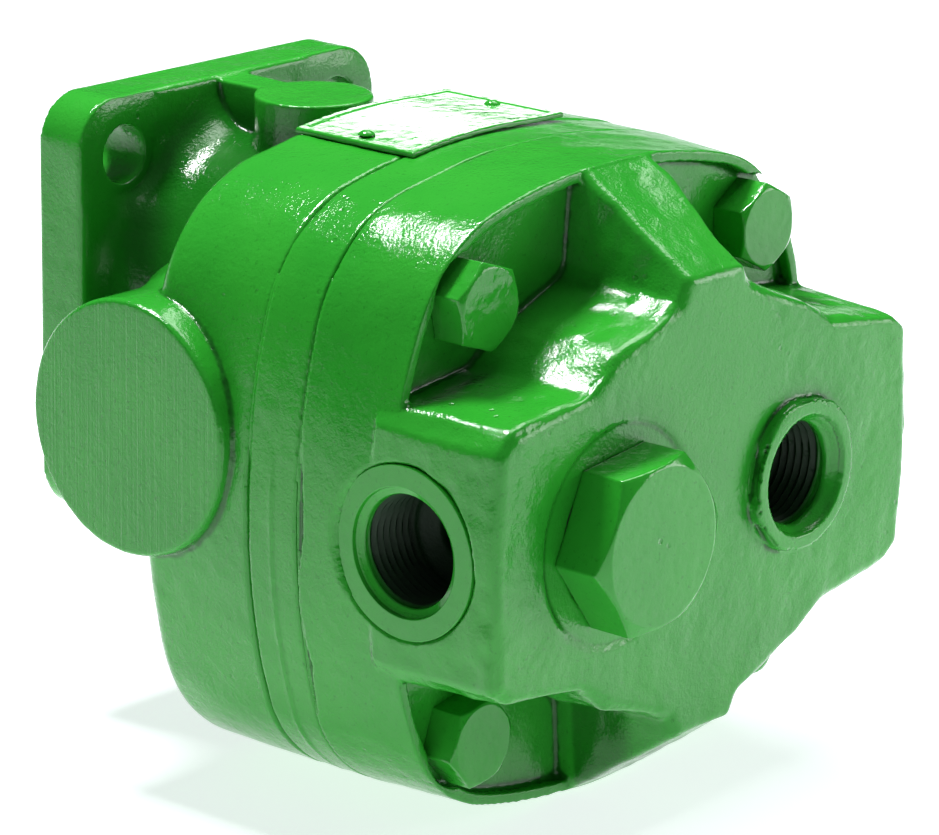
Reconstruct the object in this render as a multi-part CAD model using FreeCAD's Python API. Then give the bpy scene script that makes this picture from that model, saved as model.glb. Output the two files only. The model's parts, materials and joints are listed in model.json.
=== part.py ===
import FreeCAD, Part
import math
import os

# Hydraulic gear pump or motor with a square four-bolt flange, in millimetres.
# The origin is the centre of the mounting face, on the drive shaft's axis. The shaft
# points along +Y, the ported cover faces -Y, +Z is up. The casing's own axis lies half
# a gear centre distance below the drive shaft.

V = FreeCAD.Vector

# Gears: six diametral pitch
GEAR_TEETH = 12
GEAR_MODULE = 25.4 / 6
PRESSURE_ANGLE = 26.0
TIP_FACTOR = 0.90
ROOT_FACTOR = 1.22
BACKLASH = 0.30
GEAR_CENTRES = GEAR_TEETH * GEAR_MODULE
GEAR_TIP_R = GEAR_CENTRES / 2 + TIP_FACTOR * GEAR_MODULE
TIP_CLEARANCE = 0.08
SIDE_CLEARANCE = 0.05

# Casing outline at the gear plate, about the casing's axis: crowned sides and round corners
BODY_HALF_X = 78.8
BODY_HALF_Z = 75.8
BODY_SIDE_R = 159.0
BODY_TOP_R = 205.0
BODY_CORNER_R = 38.0
BODY_EDGE_R = 6.0

# Draft of the castings: how much narrower each side is at the far end
FRONT_DRAFT = 1.2
RIM_DRAFT = 1.8
RIM_SHIFT_X = -0.9
RIM_SIDE_R = 123.0
RIM_TOP_R = 170.0

# Lengths along the shaft, from the mounting face towards the cover
FLANGE_THICK = 14.5
NECK_LENGTH = 42.5
HOUSING_BODY = 37.0
GEAR_PLATE_THICK = 15.0
COVER_SLAB = 27.0
COVER_BLOCK = 30.5
POCKET_DEPTH = 3.4
POCKET_LIP = 2.8

# Mounting flange
FLANGE_SIDE = 104.0
FLANGE_CORNER_R = 12.0
FLANGE_PITCH = 75.2
FLANGE_HOLE = 14.3
FLANGE_SEAT = 25.0
PILOT = 82.55
PILOT_HEIGHT = 6.35
NECK_R = 40.0
NECK_FLARE = 11.5
NECK_ROOT = 5.0
NECK_WEB_HALF_X = 5.0
NECK_PAD_R = 14.5
NECK_PAD_Y = -41.5
NECK_PAD_TOP = 51.0

# Blank side boss on the housing
BOSS_R = 30.7
BOSS_Y = -58.2
BOSS_Z = -12.7
BOSS_FACE_X = -BODY_HALF_X - 2.7
BOSS_FLARE = 4.8
BOSS_FLARE_X = -66.0
BOSS_ROOT_X = -48.0

# Ported block of the cover, as corner points of one quarter: x, z, corner radius.
# The first list is the rear face, the second lies at the casing's rim.
REAR_QUARTER = [(9.8, BODY_HALF_Z - 21.6, 2.5), (13.2, BODY_HALF_Z - 26.2, 3.0), (34.8, 41.4, 5.0),
                (44.6, 35.2, 6.0), (BODY_HALF_X - 9.3, 31.4, 4.0), (BODY_HALF_X - 3.6, 27.5, 3.0)]
REAR_SIDE_X = BODY_HALF_X - 2.0
RIM_QUARTER = [(12.4, BODY_HALF_Z - 0.5, 2.5), (14.4, BODY_HALF_Z - 24.8, 5.0), (37.5, 42.0, 5.0),
               (47.5, 35.0, 6.5), (BODY_HALF_X - 5.8, 32.2, 4.0), (BODY_HALF_X - 2.4, 27.8, 3.0)]
RIM_SIDE_X = BODY_HALF_X - 0.8
BLOCK_SIDE_R = 250.0
REAR_EDGE_R = 3.0

# Ports: straight thread with an O-ring seat
PORT_BORE = 24.9
PORT_THREAD_DEPTH = 19.0
PORT_SEAT = 29.2
PORT_SEAT_DEPTH = 2.6
PASSAGE = 16.0
SIDE_PORT_FACE_X = -BODY_HALF_X + 1.9
SIDE_PORT_Y = -140.0
SIDE_PORT_RING = 40.6
REAR_PORT_X = 32.0
REAR_PORT_RING = 36.8
REAR_PORT_RAISE = 3.2
KIDNEY_IN = 10.0
KIDNEY_OUT = 40.0
KIDNEY_HALF_Z = 9.0
KIDNEY_DEPTH = 9.0

# Cover bolts, half-inch
BOLT_X = 50.6
BOLT_Z = 51.5
BOLT_SHANK = 12.7
BOLT_HOLE = 13.1
BOLT_AF = 19.05
BOLT_HEAD = 9.5
BOLT_GRIP_IN_HOUSING = 24.0
BOLT_TURNS = [11.0, 41.0, 58.0, 32.0]

# Dowels, on the casing's level line
DOWEL = 8.0
DOWEL_X = 62.0
DOWEL_LENGTH = 36.0

# Outlet valve behind its hex plug
VALVE_X = -33.3
PLUG_AF = 38.1
PLUG_HEAD = 13.6
PLUG_TURN = 6.0
PLUG_THREAD = 33.3
PLUG_THREAD_LENGTH = 19.0
PLUG_RELIEF = 1.0
PLUG_SPOT = 52.8
PLUG_SPOT_DEPTH = 0.9
PLUG_CONE = 2.2
PLUG_CONE_DEPTH = 3.3
PLUG_NOSE = 20.0
PLUG_NOSE_LENGTH = 5.0
VALVE_BORE = 27.0
SEAT_HOLE = 13.0
SEAT_THICK = 5.0
SEAT_CONE = 1.6
POPPET_HEAD = 19.0
POPPET_RIM = 3.0
POPPET_STEM = 9.0
POPPET_STEM_LENGTH = 27.0
STEM_FIT = 0.05
SPRING_WIRE = 2.0
SPRING_OD = 18.0
SPRING_TURNS = 4.0
SPRING_SEAT_GAP = 0.15
PART_GAP = 0.05

# Face seals between the castings
FACE_SEAL_WIDTH = 2.6
FACE_SEAL_GROOVE = 1.9
FACE_SEAL_ROOM = 13.5

# Shafts and their bearings
SHAFT_END = 22.2
SHAFT_OUT = 41.0
SHAFT_MAIN = 25.0
KEY_WIDTH = 6.35
SHAFT_KEY_LENGTH = 25.0
SHAFT_SHOULDER = 3.0
GEAR_KEY_DEPTH = 3.0
BUSH_OD = 32.0
BUSH_LENGTH = 28.0
BUSH_FIT = 0.05
END_FLOAT = 1.0
SHAFT_BORE = 30.0
SEAL_WIDTH = 8.0
SEAL_FRONT = 4.5
BEARING_OD = 52.0
BEARING_WIDTH = 15.0
BEARING_RACE = 4.4
BEARING_BALLS = 9
BALL_D = 7.8
RETAINER_THICK = 1.6
RETAINER_REACH = 1.8
SHAFT_GROOVE = 1.0

# Nameplate on top of the casing
PLATE_X = 54.0
PLATE_Y = 37.0
PLATE_CENTRE_Y = -79.0
PLATE_THICK = 1.0
PLATE_STAND_OFF = 0.1
PLATE_SCREW_X = 22.5
PLATE_SCREW = 2.4
PLATE_SCREW_HEAD = 5.0
PLATE_SCREW_LENGTH = 5.5

# Places that follow from the sizes above
BODY_Z = -GEAR_CENTRES / 2
IDLER_Z = -GEAR_CENTRES
BODY_FRONT = -(FLANGE_THICK + NECK_LENGTH)
SEAM = BODY_FRONT - HOUSING_BODY
COVER_FRONT = SEAM - GEAR_PLATE_THICK
RIM = COVER_FRONT - COVER_SLAB
REAR = RIM - COVER_BLOCK
SEAT = RIM + POCKET_DEPTH
BUSH_FRONT = SEAM + BUSH_LENGTH + END_FLOAT
BUSH_REAR = COVER_FRONT - BUSH_LENGTH - END_FLOAT
BEARING_FRONT = PILOT_HEIGHT - SEAL_FRONT - SEAL_WIDTH - RETAINER_THICK - 1.0
BEARING_REAR = BEARING_FRONT - BEARING_WIDTH
VALVE_SEAT_Y = COVER_FRONT - KIDNEY_DEPTH
POPPET_Y = VALVE_SEAT_Y - SEAT_THICK
PLUG_SEAT_Y = REAR + PLUG_SPOT_DEPTH
PLUG_NOSE_Y = PLUG_SEAT_Y + PLUG_THREAD_LENGTH + PLUG_NOSE_LENGTH
DOWEL_HOLE_DEPTH = (DOWEL_LENGTH - GEAR_PLATE_THICK) / 2 + 0.5
BALL_CIRCLE_R = (BEARING_OD + SHAFT_MAIN) / 4
SHAFT_STEP = PILOT_HEIGHT + SHAFT_SHOULDER


def cyl_y(x, z, radius, y_low, y_high):
    return Part.makeCylinder(radius, y_high - y_low, V(x, y_low, z), V(0, 1, 0))


def cyl_x(y, z, radius, x_low, x_high):
    return Part.makeCylinder(radius, x_high - x_low, V(x_low, y, z), V(1, 0, 0))


def ring_y(x, z, r_out, r_in, y_low, y_high):
    return cyl_y(x, z, r_out, y_low, y_high).cut(cyl_y(x, z, r_in, y_low - 1, y_high + 1))


def block(x_low, x_high, y_low, y_high, z_low, z_high):
    return Part.makeBox(x_high - x_low, y_high - y_low, z_high - z_low, V(x_low, y_low, z_low))


def turned(profile, x=0.0, z=0.0):
    """Revolves points of (radius, y) about a line along Y through x, z."""
    points = [V(x + r, y, z) for r, y in profile]
    wire = Part.makePolygon(points + points[:1])
    return Part.Face(wire).revolve(V(x, 0, z), V(0, 1, 0), 360)


def fuse(shapes):
    out = shapes[0].fuse(shapes[1:]) if len(shapes) > 1 else shapes[0]
    return out.removeSplitter()


def rounded_wire(corners, y, z_shift=0.0):
    """A closed wire at one Y through points of (x, z, corner radius)."""
    count = len(corners)
    starts = []
    ends = []
    middles = []
    for i in range(count):
        x, z, r = corners[i]
        p = V(x, y, z + z_shift)
        a = V(corners[i - 1][0], y, corners[i - 1][1] + z_shift) - p
        b = V(corners[(i + 1) % count][0], y, corners[(i + 1) % count][1] + z_shift) - p
        a.normalize()
        b.normalize()
        half = a.getAngle(b) / 2
        reach = r / math.tan(half)
        bisector = a + b
        bisector.normalize()
        centre = p + bisector * (r / math.sin(half))
        starts.append(p + a * reach)
        ends.append(p + b * reach)
        middles.append(centre - bisector * r)
    edges = []
    for i in range(count):
        edges.append(Part.Arc(starts[i], middles[i], ends[i]).toShape())
        edges.append(Part.makeLine(ends[i], starts[(i + 1) % count]))
    return Part.Wire(edges)


def mirrored_quarter(quarter, side_x, side_r):
    """All corners of an outline from those of its upper right quarter, in running order."""
    right_up = list(quarter)
    right_down = [(x, -z, r) for x, z, r in reversed(quarter)]
    left_down = [(-x, -z, r) for x, z, r in quarter]
    left_up = [(-x, z, r) for x, z, r in reversed(quarter)]
    side = (side_x, 0.0, side_r)
    other = (-side_x, 0.0, side_r)
    return right_up + [side] + right_down + left_down + [other] + left_up


def arc_outline(y, half_x, half_z, side_r, top_r, corner_r, shift_x=0.0):
    """A closed wire at one Y about the casing's axis: four side arcs joined by four corner arcs."""
    side = V(half_x - side_r, 0, 0)
    top = V(0, 0, half_z - top_r)
    side_reach = side_r - corner_r
    top_reach = top_r - corner_r
    # The corner's centre is where the circles of those two reaches about side and top cross
    span = side - top
    along = (top_reach ** 2 - side_reach ** 2 + span.Length ** 2) / (2 * span.Length)
    across = math.sqrt(top_reach ** 2 - along ** 2)
    span.normalize()
    corner = top + span * along + V(span.z, 0, -span.x) * across
    to_top = (corner - top) * (1 / top_reach)
    to_side = (corner - side) * (1 / side_reach)
    to_middle = to_top + to_side
    to_middle.normalize()
    t = top + to_top * top_r
    m = corner + to_middle * corner_r
    s = side + to_side * side_r
    stops = [(-t.x, t.z), (0, half_z), (t.x, t.z), (m.x, m.z), (s.x, s.z), (half_x, 0), (s.x, -s.z),
             (m.x, -m.z), (t.x, -t.z), (0, -half_z), (-t.x, -t.z), (-m.x, -m.z), (-s.x, -s.z),
             (-half_x, 0), (-s.x, s.z), (-m.x, m.z), (-t.x, t.z)]
    points = [V(x + shift_x, y, z + BODY_Z) for x, z in stops]
    return Part.Wire([Part.Arc(*points[i:i + 3]).toShape() for i in range(0, len(points) - 1, 2)])


def body_wire(y, inset=0.0, draft=0.0):
    """The casing's outline at the gear plate, moved in by inset, its two sides by draft as well."""
    return arc_outline(y, BODY_HALF_X - inset - draft, BODY_HALF_Z - inset, BODY_SIDE_R - inset,
                       BODY_TOP_R - inset, BODY_CORNER_R - inset)


def rim_wire(y, inset=0.0):
    """The cover's outline at its rim."""
    return arc_outline(y, BODY_HALF_X - RIM_DRAFT - inset, BODY_HALF_Z - inset, RIM_SIDE_R - inset,
                       RIM_TOP_R - inset, BODY_CORNER_R - inset, RIM_SHIFT_X)


def prism(wire, length):
    return Part.Face(wire).extrude(V(0, length, 0))


def hexagon(x, z, across_flats, y_low, y_high, turn):
    radius = across_flats / math.sqrt(3)
    points = []
    for i in range(7):
        angle = math.radians(turn + 60 * i)
        points.append(V(x + radius * math.cos(angle), y_low, z + radius * math.sin(angle)))
    return prism(Part.makePolygon(points), y_high - y_low)


def crowned_hexagon(x, z, across_flats, y_low, y_high, turn, both=False):
    """A hexagon whose corners are turned off at 30 degrees at its -Y face, and at both if asked."""
    corner = across_flats / math.sqrt(3)
    flat = across_flats / 2 * 0.97
    drop = (corner - flat) * math.tan(math.radians(30))
    profile = [(0, y_low), (flat, y_low), (corner + 0.01, y_low + drop)]
    if both:
        profile += [(corner + 0.01, y_high - drop * 0.6), (flat, y_high), (0, y_high)]
    else:
        profile += [(corner + 0.01, y_high), (0, y_high)]
    return hexagon(x, z, across_flats, y_low, y_high, turn).common(turned(profile, x, z))


def bolt_places():
    return [(sx * BOLT_X, BODY_Z + sz * BOLT_Z) for sx in (-1, 1) for sz in (-1, 1)]


def flange_places():
    half = FLANGE_PITCH / 2
    return [(sx * half, sz * half) for sx in (-1, 1) for sz in (-1, 1)]


def dowel_places():
    return [(-DOWEL_X, BODY_Z), (DOWEL_X, BODY_Z)]


def seal_path(y):
    """The face seal's centre line: a loop around both gears."""
    half_x = GEAR_TIP_R + FACE_SEAL_ROOM
    half_z = GEAR_CENTRES / 2 + GEAR_TIP_R + FACE_SEAL_WIDTH * 2
    corner = half_x - 4.0
    corners = [(half_x, half_z, corner), (half_x, -half_z, corner),
               (-half_x, -half_z, corner), (-half_x, half_z, corner)]
    return rounded_wire(corners, y, BODY_Z)


def seal_ring(y, width, height):
    """A flat ring on the seal's path, from y towards -Y."""
    outer = seal_path(y).makeOffset2D(width / 2)
    inner = seal_path(y).makeOffset2D(-width / 2)
    return prism(outer, -height).cut(prism(inner, -height))


def kidneys(y_low, y_high):
    """The two flow pockets at the sides of the gear mesh."""
    shapes = []
    for side in (-1, 1):
        x_low = min(side * KIDNEY_IN, side * KIDNEY_OUT)
        x_high = max(side * KIDNEY_IN, side * KIDNEY_OUT)
        pocket = block(x_low, x_high, y_low, y_high, BODY_Z - KIDNEY_HALF_Z, BODY_Z + KIDNEY_HALF_Z)
        edges = [e for e in pocket.Edges if abs(e.tangentAt(e.FirstParameter).y) > 0.9]
        shapes.append(pocket.makeFillet(4.0, edges))
    return shapes


# Castings


def trumpet_neck():
    """The round neck, flared where it meets the flange and filleted where it meets the casing."""
    flare_start = -FLANGE_THICK - NECK_FLARE
    root_start = BODY_FRONT + NECK_ROOT
    quarter = math.sqrt(0.5)
    flare_mid = V(NECK_R + NECK_FLARE * (1 - quarter), flare_start + NECK_FLARE * quarter, 0)
    root_mid = V(NECK_R + NECK_ROOT * (1 - quarter), root_start - NECK_ROOT * quarter, 0)
    flare_top = V(NECK_R + NECK_FLARE, -FLANGE_THICK, 0)
    flare_end = V(NECK_R, flare_start, 0)
    root_top = V(NECK_R, root_start, 0)
    root_end = V(NECK_R + NECK_ROOT, BODY_FRONT, 0)
    front = V(0, -FLANGE_THICK, 0)
    rear = V(0, BODY_FRONT, 0)
    edges = [Part.makeLine(front, flare_top), Part.Arc(flare_top, flare_mid, flare_end).toShape(),
             Part.makeLine(flare_end, root_top), Part.Arc(root_top, root_mid, root_end).toShape(),
             Part.makeLine(root_end, rear), Part.makeLine(rear, front)]
    return Part.Face(Part.Wire(edges)).revolve(V(0, 0, 0), V(0, 1, 0), 360)


def neck_pad():
    """The web over the neck, which widens to a flat round pad before the casing."""
    low = NECK_R / 2
    web = block(-NECK_WEB_HALF_X, NECK_WEB_HALF_X, NECK_PAD_Y, -FLANGE_THICK / 2, low, NECK_PAD_TOP)
    pad = Part.makeCylinder(NECK_PAD_R, NECK_PAD_TOP - low, V(0, NECK_PAD_Y, low), V(0, 0, 1))
    return web.fuse(pad)


def side_boss():
    """The blank round boss on the left, flared where it meets the neck."""
    edge = 0.8
    root_r = BOSS_R + BOSS_FLARE
    inner = -NECK_R / 2
    middle = V((BOSS_FLARE_X + BOSS_ROOT_X) / 2, BOSS_Y + BOSS_R + BOSS_FLARE / 4, BOSS_Z)
    points = [V(x, BOSS_Y + r, BOSS_Z) for r, x in
              [(BOSS_R, BOSS_FLARE_X), (BOSS_R, BOSS_FACE_X + edge), (BOSS_R - edge, BOSS_FACE_X),
               (0, BOSS_FACE_X), (0, inner), (root_r, inner), (root_r, BOSS_ROOT_X)]]
    edges = Part.makePolygon(points).Edges
    edges.append(Part.Arc(points[-1], middle, points[0]).toShape())
    return Part.Face(Part.Wire(edges)).revolve(V(0, BOSS_Y, BOSS_Z), V(1, 0, 0), 360)


def front_housing():
    body = Part.makeLoft([body_wire(SEAM), body_wire(BODY_FRONT, 0.0, FRONT_DRAFT)], True, True)
    front_edges = [e for e in body.Edges if e.BoundBox.YMin > BODY_FRONT - 0.01]
    body = body.makeFillet(BODY_EDGE_R, front_edges)
    half = FLANGE_SIDE / 2
    square = [(half, half, FLANGE_CORNER_R), (half, -half, FLANGE_CORNER_R),
              (-half, -half, FLANGE_CORNER_R), (-half, half, FLANGE_CORNER_R)]
    flange = prism(rounded_wire(square, -FLANGE_THICK), FLANGE_THICK)
    flange = flange.makeFillet(1.5, [e for e in flange.Edges if e.BoundBox.YMax < -FLANGE_THICK + 0.01])
    neck = trumpet_neck()
    pilot = cyl_y(0, 0, PILOT / 2, -1, PILOT_HEIGHT)
    pilot = pilot.makeChamfer(1.0, [e for e in pilot.Edges if e.BoundBox.YMin > PILOT_HEIGHT - 0.01])
    solid = fuse([body, neck, neck_pad(), side_boss(), flange, pilot])
    cuts = []
    for x, z in flange_places():
        cuts.append(cyl_y(x, z, FLANGE_HOLE / 2, -FLANGE_THICK - 1, 1))
        cuts.append(cyl_y(x, z, FLANGE_SEAT / 2, -FLANGE_THICK - NECK_FLARE, -FLANGE_THICK))
    cuts.append(cyl_y(0, 0, BEARING_OD / 2, BEARING_REAR, PILOT_HEIGHT + 1))
    cuts.append(cyl_y(0, 0, BEARING_OD / 2 + RETAINER_REACH, BEARING_FRONT, BEARING_FRONT + RETAINER_THICK))
    cuts.append(cyl_y(0, 0, SHAFT_BORE / 2, BUSH_FRONT - 1, BEARING_REAR + 1))
    for z in (0, IDLER_Z):
        cuts.append(cyl_y(0, z, BUSH_OD / 2, SEAM - 1, BUSH_FRONT))
    for x, z in bolt_places():
        cuts.append(cyl_y(x, z, BOLT_HOLE / 2, SEAM - 1, SEAM + BOLT_GRIP_IN_HOUSING + 2))
    for x, z in dowel_places():
        cuts.append(cyl_y(x, z, DOWEL / 2 + PART_GAP, SEAM - 1, SEAM + DOWEL_HOLE_DEPTH))
    cuts.append(seal_ring(SEAM + FACE_SEAL_GROOVE, FACE_SEAL_WIDTH + 2 * PART_GAP, FACE_SEAL_GROOVE + 1))
    cuts += kidneys(SEAM - 1, SEAM + KIDNEY_DEPTH / 3)
    for side in (-1, 1):
        cuts.append(plate_screw_cylinder(side * PLATE_SCREW_X, PLATE_SCREW / 2, -PLATE_SCREW_LENGTH - 1.5, 1.0))
    return solid.cut(cuts)


def plate_screw_cylinder(x, radius, low, high):
    """An upright cylinder at a nameplate screw; low and high are measured from the casing's top."""
    return Part.makeCylinder(radius, high - low, V(x, PLATE_CENTRE_Y, top_of_body(x) + low), V(0, 0, 1))


def top_of_body(x):
    """Height of the casing's crowned top at x."""
    return BODY_Z + BODY_HALF_Z - BODY_TOP_R + math.sqrt(BODY_TOP_R ** 2 - x * x)


def gear_plate():
    solid = prism(body_wire(COVER_FRONT, 0.4), GEAR_PLATE_THICK)
    middle = (SEAM + COVER_FRONT) / 2
    outside = prism(body_wire(middle - 0.4, -3.0), 0.8)
    witness = outside.cut(prism(body_wire(middle - 0.4, 0.7), 0.8))
    cuts = [witness]
    for z in (0, IDLER_Z):
        cuts.append(cyl_y(0, z, GEAR_TIP_R + TIP_CLEARANCE, COVER_FRONT - 1, SEAM + 1))
    cuts += kidneys(COVER_FRONT - 1, SEAM + 1)
    for x, z in bolt_places():
        cuts.append(cyl_y(x, z, BOLT_HOLE / 2, COVER_FRONT - 1, SEAM + 1))
    for x, z in dowel_places():
        cuts.append(cyl_y(x, z, DOWEL / 2 + PART_GAP, COVER_FRONT - 1, SEAM + 1))
    return solid.cut(cuts)


def port_cut(face, depth):
    """Points of (radius, distance) of a threaded port, cut from its face."""
    seat_r = PORT_SEAT / 2
    bore_r = PORT_BORE / 2
    passage_r = PASSAGE / 2
    thread_end = face + PORT_THREAD_DEPTH
    return [(0, face - 1), (seat_r, face - 1), (seat_r, face), (bore_r, face + PORT_SEAT_DEPTH),
            (bore_r, thread_end), (passage_r, thread_end + 3), (passage_r, face + depth), (0, face + depth)]


def rear_cover():
    slab = Part.makeLoft([rim_wire(RIM), body_wire(COVER_FRONT)], True, True)
    lip_inside = prism(rim_wire(RIM - 1, POCKET_LIP), POCKET_DEPTH + 1)
    slab = slab.cut(lip_inside)
    rim_corners = mirrored_quarter(RIM_QUARTER, RIM_SIDE_X, BLOCK_SIDE_R)
    rear_corners = mirrored_quarter(REAR_QUARTER, REAR_SIDE_X, BLOCK_SIDE_R)
    sections = [rounded_wire(rim_corners, RIM, BODY_Z), rounded_wire(rear_corners, REAR, BODY_Z)]
    ported = Part.makeLoft(sections, True, True)
    ported = ported.makeFillet(REAR_EDGE_R, [e for e in ported.Edges if e.BoundBox.YMax < REAR + 0.01])
    root = prism(rounded_wire(rim_corners, RIM, BODY_Z), POCKET_DEPTH + 2)
    raised = cyl_y(REAR_PORT_X, BODY_Z, REAR_PORT_RING / 2, REAR - REAR_PORT_RAISE, REAR + 2)
    solid = fuse([slab, ported, root, raised])
    cuts = []
    for x, z in bolt_places():
        cuts.append(cyl_y(x, z, BOLT_HOLE / 2, SEAT - 1, COVER_FRONT + 1))
        cuts.append(cyl_y(x, z, BOLT_AF / math.sqrt(3) + 1.2, RIM - 12, SEAT))
    for z in (0, IDLER_Z):
        cuts.append(cyl_y(0, z, BUSH_OD / 2, BUSH_REAR, COVER_FRONT + 1))
    for x, z in dowel_places():
        cuts.append(cyl_y(x, z, DOWEL / 2 + PART_GAP, COVER_FRONT - DOWEL_HOLE_DEPTH, COVER_FRONT + 1))
    cuts.append(seal_ring(COVER_FRONT + 1, FACE_SEAL_WIDTH + 2 * PART_GAP, FACE_SEAL_GROOVE + 1))
    cuts += kidneys(COVER_FRONT - KIDNEY_DEPTH, COVER_FRONT + 1)
    # The rear port runs straight to the pocket behind the gears
    rear_face = REAR - REAR_PORT_RAISE
    cuts.append(turned(port_cut(rear_face, COVER_FRONT - KIDNEY_DEPTH - rear_face + 1), REAR_PORT_X, BODY_Z))
    # The side port meets the outlet valve's chamber
    cuts.append(cyl_x(SIDE_PORT_Y, BODY_Z, SIDE_PORT_RING / 2, SIDE_PORT_FACE_X - 6, SIDE_PORT_FACE_X))
    side_cut = port_cut(SIDE_PORT_FACE_X, VALVE_X - SIDE_PORT_FACE_X)
    profile = [V(x, SIDE_PORT_Y + r, BODY_Z) for r, x in side_cut]
    tool = Part.Face(Part.makePolygon(profile + profile[:1]))
    cuts.append(tool.revolve(V(0, SIDE_PORT_Y, BODY_Z), V(1, 0, 0), 360))
    # The valve's chamber, its plug thread and the plug's spot face
    cuts.append(cyl_y(VALVE_X, BODY_Z, PLUG_SPOT / 2, REAR - 1, PLUG_SEAT_Y))
    thread_end = PLUG_SEAT_Y + PLUG_THREAD_LENGTH + 1
    thread_r = PLUG_THREAD / 2 + PART_GAP
    cone_r = PLUG_THREAD / 2 + PLUG_CONE
    cuts.append(turned([(0, PLUG_SEAT_Y - 1), (cone_r, PLUG_SEAT_Y - 1), (cone_r, PLUG_SEAT_Y),
                        (thread_r, PLUG_SEAT_Y + PLUG_CONE_DEPTH), (thread_r, thread_end),
                        (VALVE_BORE / 2, thread_end + 1.5), (VALVE_BORE / 2, POPPET_Y),
                        (VALVE_BORE / 2, VALVE_SEAT_Y), (0, VALVE_SEAT_Y)], VALVE_X, BODY_Z))
    cuts.append(cyl_y(VALVE_X, BODY_Z, SEAT_HOLE / 2, VALVE_SEAT_Y - 1, VALVE_SEAT_Y + 1))
    return solid.cut(cuts)


# Gears and shafts


def involute_flank(base_r, start_r, end_r, count=5):
    """Points of (radius, angle) along an involute from its base circle, angle 0 at the base."""
    points = []
    for i in range(count):
        r = start_r + (end_r - start_r) * i / (count - 1)
        roll = math.acos(min(1.0, base_r / r))
        points.append((r, math.tan(roll) - roll))
    return points


def gear_solid(bore, y_low, y_high, turn, key_depth):
    pitch_r = GEAR_CENTRES / 2
    alpha = math.radians(PRESSURE_ANGLE)
    base_r = pitch_r * math.cos(alpha)
    root_r = pitch_r - ROOT_FACTOR * GEAR_MODULE
    start_r = max(base_r, root_r + 0.4)
    inv_alpha = math.tan(alpha) - alpha
    half_tooth = math.pi / (2 * GEAR_TEETH) - BACKLASH / (4 * pitch_r)
    flank = involute_flank(base_r, start_r, GEAR_TIP_R)

    def at(r, angle):
        return V(r * math.sin(angle), y_low, r * math.cos(angle))

    edges = []
    pitch = 2 * math.pi / GEAR_TEETH
    root_half = half_tooth + inv_alpha - flank[0][1]
    for i in range(GEAR_TEETH):
        centre = math.radians(turn) + i * pitch
        left = [at(r, centre - half_tooth - inv_alpha + a) for r, a in flank]
        right = [at(r, centre + half_tooth + inv_alpha - a) for r, a in flank]
        rise = Part.BSplineCurve()
        rise.interpolate(left)
        fall = Part.BSplineCurve()
        fall.interpolate(list(reversed(right)))
        left_root = at(root_r, centre - root_half)
        right_root = at(root_r, centre + root_half)
        next_root = at(root_r, centre + pitch - root_half)
        edges.append(Part.makeLine(left_root, left[0]))
        edges.append(rise.toShape())
        edges.append(Part.Arc(left[-1], at(GEAR_TIP_R, centre), right[-1]).toShape())
        edges.append(fall.toShape())
        edges.append(Part.makeLine(right[0], right_root))
        edges.append(Part.Arc(right_root, at(root_r, centre + pitch / 2), next_root).toShape())
    solid = prism(Part.Wire(edges), y_high - y_low)
    half = KEY_WIDTH / 2
    slot = block(-half - PART_GAP, half + PART_GAP, y_low - 1, y_high + 1, 0, bore / 2 + key_depth)
    return solid.cut([cyl_y(0, 0, bore / 2, y_low - 1, y_high + 1), slot])


def gear_band():
    return COVER_FRONT + SIDE_CLEARANCE, SEAM - SIDE_CLEARANCE


def drive_gear():
    low, high = gear_band()
    return gear_solid(SHAFT_MAIN, low, high, 0.0, GEAR_KEY_DEPTH + PART_GAP)


def idler_gear():
    low, high = gear_band()
    gear = gear_solid(SHAFT_MAIN, low, high, 180.0 / GEAR_TEETH, GEAR_KEY_DEPTH + PART_GAP)
    gear.translate(V(0, 0, IDLER_Z))
    return gear


def gear_key(z):
    low, high = gear_band()
    half = KEY_WIDTH / 2
    middle = z + SHAFT_MAIN / 2
    return block(-half, half, low + 0.5, high - 0.5, middle - GEAR_KEY_DEPTH, middle + GEAR_KEY_DEPTH)


def key_slot(z, low, high, radius):
    half = KEY_WIDTH / 2 + PART_GAP
    floor = z + radius - GEAR_KEY_DEPTH - PART_GAP
    return block(-half, half, low, high, floor, z + radius + 2)


def shaft_key_band():
    low = SHAFT_STEP + PART_GAP
    return low, low + SHAFT_KEY_LENGTH


def drive_shaft():
    low, high = gear_band()
    end = BUSH_REAR + END_FLOAT
    main_r = SHAFT_MAIN / 2
    end_r = SHAFT_END / 2
    solid = turned([(0, end), (main_r - 1, end), (main_r, end + 1), (main_r, SHAFT_STEP - 1),
                    (end_r, SHAFT_STEP), (end_r, SHAFT_OUT - 1.2), (end_r - 1.2, SHAFT_OUT), (0, SHAFT_OUT)])
    cuts = [key_slot(0, low + 0.5 - PART_GAP, high - 0.5 + PART_GAP, SHAFT_MAIN / 2),
            key_slot(0, SHAFT_STEP, SHAFT_OUT + 1, SHAFT_END / 2),
            ring_y(0, 0, SHAFT_MAIN, main_r - SHAFT_GROOVE, BEARING_REAR - RETAINER_THICK, BEARING_REAR)]
    return solid.cut(cuts)


def shaft_key():
    low, high = shaft_key_band()
    half = KEY_WIDTH / 2
    base = SHAFT_END / 2 - GEAR_KEY_DEPTH
    return block(-half, half, low, high, base, base + KEY_WIDTH)


def idler_shaft():
    low, high = gear_band()
    end = BUSH_REAR + END_FLOAT
    front = BUSH_FRONT - END_FLOAT
    main_r = SHAFT_MAIN / 2
    solid = turned([(0, end), (main_r - 1, end), (main_r, end + 1), (main_r, front - 1), (main_r - 1, front),
                    (0, front)], 0, IDLER_Z)
    return solid.cut(key_slot(IDLER_Z, low + 0.5 - PART_GAP, high - 0.5 + PART_GAP, SHAFT_MAIN / 2))


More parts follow.
